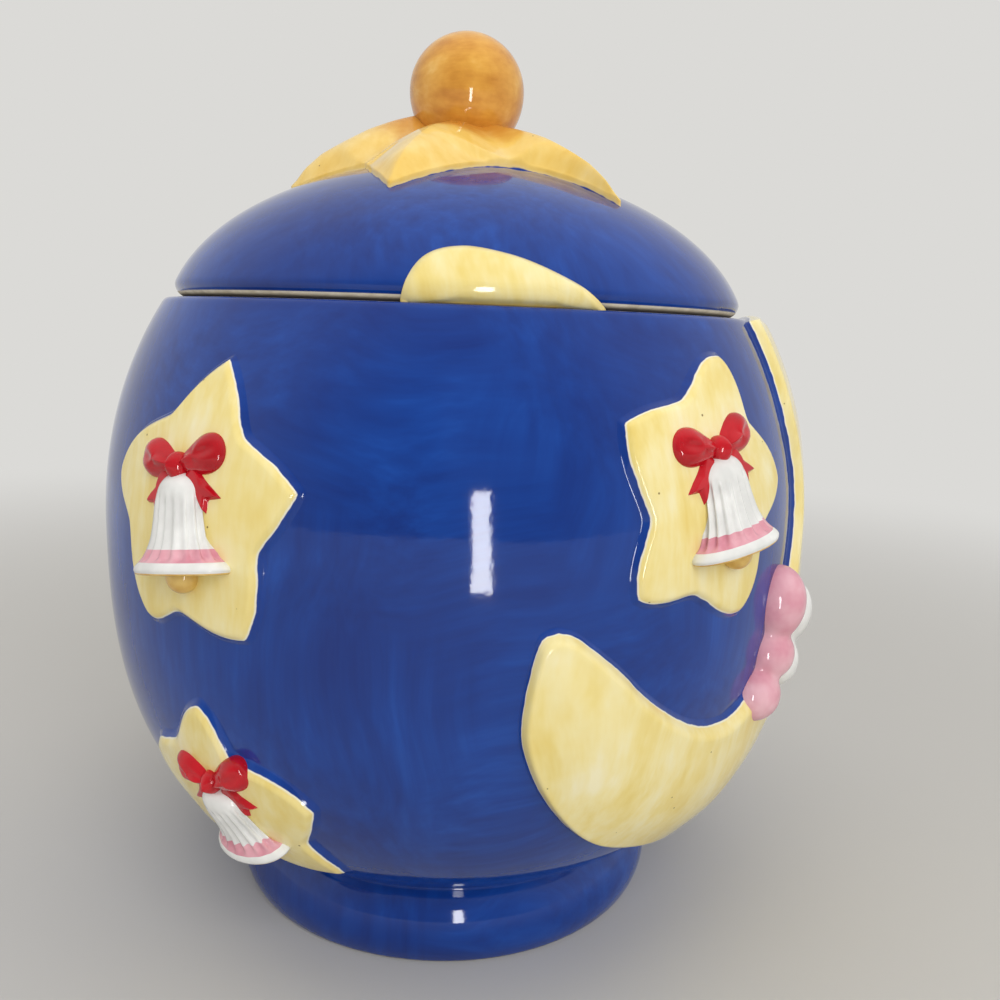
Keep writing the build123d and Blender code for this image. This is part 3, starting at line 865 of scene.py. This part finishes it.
def arm_sections(edge, turns, radii):
    """Share of the way from an arm's ridge to its side, and the ridge's height, in rows of radii."""
    columns = len(edge)
    tips = [int(np.abs(turns - azimuth).argmin()) for azimuth, _ in KNOB_STAR_ARMS]
    share, ridge = np.zeros_like(radii), np.zeros_like(radii)
    for arm, (tip, (_, height)) in enumerate(zip(tips, KNOB_STAR_ARMS)):
        heights = height * np.interp(radii * ARM_RIDGE[-1][0] / edge[tip], *np.transpose(ARM_RIDGE))
        for side in (1, -1):
            stop = (tips[(arm + side) % len(tips)] - tip) * side % columns
            own = (tip + side * np.arange(stop)) % columns
            own = own[: edge[own].argmin() + 1]
            away = np.abs((turns[own] - turns[tip] + 180) % 360 - 180)
            half = [np.interp(-radii[:, c], -np.minimum.accumulate(edge[own]), away) for c in own]
            share[:, own] = np.clip(away / np.maximum(np.transpose(half), 0.5), 0, 1)
            ridge[:, own] = heights[:, own]
    return share, ridge


def make_knob_star(skin, tree, material):
    """Five roof-shaped arms that rise from the dome and run together round the ball."""
    edge_points = [around(azimuth, radius, 0)[:2] for azimuth, radius in KNOB_STAR_EDGE]
    outline = spaced(edge_points, 480, closed=True)
    for _ in range(2):
        outline = (np.roll(outline, 1, 0) + 2 * outline + np.roll(outline, -1, 0)) / 4
    edge = np.linalg.norm(outline, axis=1)
    way_out = outline / edge[:, None]
    turns = np.degrees(np.unwrap(np.arctan2(way_out[:, 0], -way_out[:, 1])))
    rim = edge - np.array(KNOB_STAR_RIM)[:, None]
    inward = np.linspace(0, 1, 34)[1:, None]
    radii = np.vstack([rim, rim[-1] + (ARM_RIDGE[0][0] - rim[-1]) * inward])
    share, ridge = arm_sections(edge, turns, radii)
    sharp = ARM_SHARPNESS * eased(radii, *ARM_SHARPENING)
    section = sharp * (1 - share) + (1 - sharp) * (0.5 + 0.5 * np.cos(math.pi * share))
    valley = np.interp(radii, *np.transpose(ARM_VALLEY))
    wall = eased(edge - radii, *KNOB_STAR_SLOPE)
    rise = wall * (valley + np.maximum(ridge - valley, 0) * section) - BEDDING
    crown = np.full((*radii.shape, 1), RIM_HEIGHT + LID_RISE)
    placed = np.concatenate([way_out * radii[..., None], crown], 2)
    ways = np.broadcast_to([0, 0, 1.0], placed.shape)
    parts = [(placed, ways, rise, edge - radii)]
    make_relief("knob_star", "lid", parts, skin, tree, material, ring=True)


def globe(columns, rows):
    """Rows of points of a ball of radius 1, from its lowest point up."""
    turns = np.linspace(0, 2 * math.pi, columns, endpoint=False)
    turns, lifts = np.meshgrid(turns, np.linspace(-1, 1, rows) * math.pi / 2)
    return np.stack([np.cos(lifts) * np.sin(turns), -np.cos(lifts) * np.cos(turns), np.sin(lifts)], 2)


def make_knob(material):
    """Ball knob, a little uneven as cast."""
    columns, rows = 96, 65
    way = globe(columns, rows)
    x, y, z = np.moveaxis(way, 2, 0)
    swell = 0.10 * np.sin(3 * x + 1.2) + 0.12 * np.sin(4 * z - 0.6) + 0.08 * np.sin(5 * y)
    points = way * (KNOB_RADIUS - 0.15 + swell)[..., None] + [0, 0, KNOB_CENTRE_HEIGHT]
    piece = piece_from("knob", points, grid_faces(range(rows), columns), [material])
    finish(piece, "knob", "lid")


def make_bell(name, materials):
    """Fluted bell in half relief with a rolled lip, a rose band and its clapper."""
    azimuth, height, _, _, size = STARS[name]
    middle, x, y, out = seat(azimuth, height, BELL_LEAN)
    middle = middle + STAR_RELIEF * out
    outline = through(BELL_SIDE, steps=8)
    radius, level = outline[:, :1], outline[:, 1]
    turns = np.linspace(0, 2 * math.pi, 120, endpoint=False)
    on_side = np.linspace(0, 1, len(outline)) < 0.75
    fluted = on_side * (1 - eased(level, *BELL_FLUTE_TOP)) * eased(level, *BELL_FLUTE_BOTTOM)
    flute = 1 - BELL_FLUTE_DEPTH * fluted[:, None] * np.abs(np.cos(BELL_FLUTES * turns)) ** 1.5
    wide, deep = radius * flute * np.cos(turns), radius * flute * np.sin(turns) * BELL_FULLNESS
    points = size * (wide[..., None] * x + deep[..., None] * out + level[:, None, None] * y)
    columns, rows = 40, 25
    ball = globe(columns, rows) * CLAPPER_RADIUS * [1.0, 0.9, 1.0] + [0, 0, CLAPPER_HEIGHT]
    clapper = size * ball @ np.array([x, out, y])
    faces = grid_faces(range(len(outline)), len(turns))
    bell_faces = len(faces)
    faces += grid_faces(range(rows), columns, points.size // 3)
    every = middle + np.vstack([points.reshape(-1, 3), clapper.reshape(-1, 3)])
    piece = piece_from(f"bell_{name}", every, faces, materials)
    for face in piece.data.polygons:
        along = (np.array(face.center) / MM - middle) @ y / size
        if face.index >= bell_faces or along < BELL_MOUTH + 0.3:
            face.material_index = 2
        elif BELL_BAND[0] < along < BELL_BAND[1]:
            face.material_index = 1
    finish(piece, f"bell_{name}", "jar")


def bow_part(place, size, centre, turn, outline, rise_of):
    """One part of a bow: an outline about its own centre, turned, with its rise above the star."""
    outline = spaced(size * outline, 90, closed=True)
    rows, depth = rows_of_relief(outline, 0 * outline, BOW_SHOULDER, INWARD)
    rise = rise_of(rows, depth, size) + STAR_RELIEF - 0.4
    c, s = math.cos(math.radians(turn)), math.sin(math.radians(turn))
    middle = size * np.add(centre, (0, BOW_HEIGHT))
    placed, ways = on_seat(place, rows @ np.array([[c, s], [-s, c]]) + middle)
    return placed, ways, rise, depth


def loop_rise(rows, depth, size):
    """Rise of a bow's loop, gathered into folds towards the knot and pressed in at its middle."""
    along, across = rows[..., 0], rows[..., 1]
    gathers = np.abs(np.sin(9.6 * np.arctan2(across, along + 9 * size)))
    fold = 0.5 * gathers * (1 - eased(along / (BOW_LOOP[0] * size), -0.4, 0.4))
    dimple = 1.3 * np.exp(-(((along - 3.0 * size) / 2.6) ** 2) - (across / 1.5) ** 2)
    return 4.2 * np.clip(depth / (4.6 * size), 0, 1) ** 0.5 - fold - dimple


def tail_rise(rows, depth, size):
    """Rise of a bow's tail, a flat strip with a round edge."""
    return 0.5 + 1.5 * eased(depth, 0, 1.2)


def knot_rise(rows, depth, size):
    """Rise of a bow's knot, round all over."""
    return 1.5 + 3.8 * np.clip(depth / 3.2, 0, 1) ** 0.5


def make_bow(name, skin, tree, material):
    """Ribbon bow: two puffed loops, a knot and two notched tails."""
    azimuth, height, _, _, size = STARS[name]
    place = seat(azimuth, height, BELL_LEAN)
    turns = np.linspace(0, 2 * math.pi, 120, endpoint=False)
    x, y = np.cos(turns), np.sin(turns)
    sides = zip(BOW_TAIL, np.roll(BOW_TAIL, -1, 0))
    tail = np.vstack([np.linspace(a, b, 12, endpoint=False) for a, b in sides])
    loop = np.stack([BOW_LOOP[0] * x, BOW_LOOP[1] * y * (1 + 0.35 * x)], 1)
    knot = np.stack([BOW_KNOT[0] * x, BOW_KNOT[1] * y], 1)
    parts = []
    for side in (-1, 1):
        at_tail = np.multiply(BOW_TAIL_PLACE, (side, 1))
        parts.append(bow_part(place, size, at_tail, side * BOW_TAIL_TURN, tail, tail_rise))
        at_loop = np.multiply(BOW_LOOP_PLACE, (side, 1))
        turn = BOW_LOOP_TURN if side > 0 else 180 - BOW_LOOP_TURN
        parts.append(bow_part(place, size, at_loop, turn, loop, loop_rise))
    parts.append(bow_part(place, size, (0, 0), 0, knot, knot_rise))
    make_relief(f"bow_{name}", "jar", parts, skin, tree, material)


def make_cloud(name, puffs, material):
    """Cloud of round puffs grown into one another."""
    columns, rows = 64, 33
    ball = globe(columns, rows)
    points, faces = [], []
    for azimuth, height, *sizes in puffs:
        middle, x, y, out = seat(azimuth, height)
        faces += grid_faces(range(rows), columns, len(points) * rows * columns)
        points.append(middle + ball * sizes @ np.array([x, y, out]))
    piece = piece_from(name, points, faces)
    grown = piece.modifiers.new("grown", "REMESH")
    grown.mode = "VOXEL"
    grown.voxel_size = 0.9 * MM
    smooth = piece.modifiers.new("smooth", "SMOOTH")
    smooth.iterations = 10
    as_mesh(piece)
    piece.data.materials.append(material)
    finish(piece, name, "jar")


# ---- the jar, piece by piece
cobalt = fired("cobalt_glazed_earthenware", cobalt_colour, gloss_bump)
liner = plain_glaze("cream_liner_glaze", "#EFE8D4", "#F8F3E6", 30)
clay = bare_clay()
# Bare clay for the lid's seam, with painted shade darkening it towards the rim's top.
seam = bare_clay("bare_fired_earthenware_at_seam", painted_shade_below=RIM_HEIGHT + 0.5)
cream = relief_glaze()
throwing, pressing = throwing_tree(), pressing_tree()

jar_wall = thinned(softened(jar_outline(), spacing=0.5, passes=8))
lid_wall = thinned(softened(lid_outline(), spacing=0.4, passes=6))
jar = thrown("jar_body", jar_wall, throwing, [cobalt, liner, clay], segments=240, unevenness=0.006)
lid = thrown("lid_dome", lid_wall, throwing, [cobalt, liner, clay, seam], segments=216, unevenness=0.005)
finish(jar, "jar_body", "jar")
finish(lid, "lid_dome", "lid")
paint_faces(jar, jar_zone)
paint_faces(lid, lid_zone)

for star in STARS:
    make_star(star, jar, pressing, cream)
make_moon(jar, pressing, cream)
make_lid_moon(lid, pressing, relief_glaze("cream_glaze_on_lid", line=-0.6))
make_knob_star(lid, pressing, relief_glaze("golden_glaze_on_lid", arm_colour, line=-0.45, bare="#EFCF88"))
make_knob(fired("amber_sponged_glaze", amber_colour, lambda tree: gloss_bump(tree, 9.0, 0.05)))

white = plain_glaze("white_gloss_glaze", "#E3E3E0", "#F6F6F3", 8)
rose = plain_glaze("rose_gloss_glaze", "#D98C9C", "#EDB4BE", 6)
red = plain_glaze("red_gloss_glaze", "#AE0A18", "#CC1424", 12)
bells = [white, rose, plain_glaze("honey_gloss_glaze", "#D9A94C", "#F0CC78", 5)]
for star in STARS:
    make_bell(star, bells)
    make_bow(star, jar, pressing, red)
make_cloud("cloud_pink", PINK_PUFFS, plain_glaze("pink_gloss_glaze", "#DE93A4", "#F0BCC6", 10))
make_cloud("cloud_white", WHITE_PUFFS, white)


# ---- floor, light and camera
def stage_sheet():
    """Pale seamless paper: flat under the jar, then swept up behind it."""
    width, depth, sweep, height = 5.0, 0.9, 0.5, 2.6
    turns = np.linspace(0, math.pi / 2, 17)
    line = [(-4.0, 0.0), *[(depth + sweep * math.sin(t), sweep - sweep * math.cos(t)) for t in turns]]
    line.append((depth + sweep, height))
    points = [(x, y, z) for y, z in line for x in (-width, width)]
    faces = [(2 * k, 2 * k + 1, 2 * k + 3, 2 * k + 2) for k in range(len(line) - 1)]
    mesh = bpy.data.meshes.new("paper_sweep")
    mesh.from_pydata(points, [], faces)
    mesh.shade_smooth()
    sheet = new_object("paper_sweep", mesh)
    material, tree = blank(bpy.data.materials, "pale_paper")
    paper = add(tree, "ShaderNodeBsdfDiffuse", {"Color": srgb("#CBC9C5")}).outputs[0]
    wall = add(tree, "ShaderNodeEmission", {"Color": srgb("#DBDAD7"), "Strength": 1.0}).outputs[0]
    away = vector_maths(tree, "LENGTH", own_place(tree), output="Value")
    rays = add(tree, "ShaderNodeLightPath").outputs
    seen = maths(tree, "MAXIMUM", rays["Is Camera Ray"], rays["Is Glossy Ray"])
    share = maths(tree, "MULTIPLY", seen, stepped(tree, away, 0.25, 1.0))
    shown = add(tree, "ShaderNodeMixShader", {0: share, 1: paper, 2: wall})
    add(tree, "ShaderNodeOutputMaterial", {0: shown.outputs[0]})
    mesh.materials.append(material)


def softbox(name, place, aim, width, height, watts, mirrored=True, lights=True):
    """Rectangular soft light aimed at a point, in metres, that the glaze mirrors, that lights, or both."""
    data = bpy.data.lights.new(name, "AREA")
    data.shape = "RECTANGLE"
    data.size, data.size_y = width, height
    data.energy = watts
    lamp = new_object(name, data)
    lamp.visible_glossy = mirrored
    lamp.visible_diffuse = lights
    lamp.visible_camera = False
    turn = (Vector(place) - Vector(aim)).to_track_quat("Z", "Y")
    lamp.matrix_world = Matrix.LocRotScale(Vector(place), turn, None)


CAMERA_PLACE = (0.0, -330.35, 193.69)
CAMERA_PITCH = 0.18362
CAMERA_YAW = 0.048819
CAMERA_ROLL = 0.038789
CAMERA_LENS = 33.832


def make_room():
    """Pale room round the jar, dimmer on the side that the jar faces."""
    world, tree = blank(bpy.data.worlds, "pale_room")
    way = add(tree, "ShaderNodeTexCoord").outputs["Generated"]
    facing = vector_maths(tree, "DOT_PRODUCT", way, (0.0, -0.97, 0.1), output="Value")
    bright, dim, shown_bright = 0.92, 0.36, 0.86
    share = stepped(tree, facing, 0.2, 0.95)
    strength = add(tree, "ShaderNodeMix", {0: share, 2: bright, 3: dim}).outputs[0]
    seen = add(tree, "ShaderNodeLightPath").outputs["Is Camera Ray"]
    shown = add(tree, "ShaderNodeMix", {0: seen, 2: strength, 3: shown_bright}).outputs[0]
    light = add(tree, "ShaderNodeBackground", {"Color": srgb("#E9E8E6"), "Strength": shown})
    add(tree, "ShaderNodeOutputWorld", {0: light.outputs[0]})
    return world


def make_camera():
    """Camera at about the height of the lid's seam, tilted down and rolled a little."""
    data = bpy.data.cameras.new("camera")
    data.sensor_width, data.lens = 36.0, CAMERA_LENS
    data.clip_start = 0.01
    camera = new_object("camera", data)
    turns = ((-CAMERA_YAW, "Z"), (math.pi / 2 - CAMERA_PITCH, "X"), (CAMERA_ROLL, "Z"))
    pan, tilt, roll = (Matrix.Rotation(turn, 4, axis) for turn, axis in turns)
    camera.matrix_world = Matrix.Translation(Vector(CAMERA_PLACE) * MM) @ pan @ tilt @ roll
    bpy.context.scene.camera = camera


stage_sheet()
softbox("window", (0.4, -1.6, 1.1), (0, 0, 0.15), 1.2, 1.2, 17.5, mirrored=False)
softbox("window_pane", (0.08, -0.62, 0.12), (0.01, 0, 0.13), 0.055, 0.27, 0.8, lights=False)
softbox("ceiling", (-0.1, -0.1, 1.8), (0, 0, 0.1), 1.6, 1.6, 6, mirrored=False)
make_camera()

scene = bpy.context.scene
scene.view_settings.view_transform = "Standard"
scene.world = make_room()

bpy.context.view_layer.update()
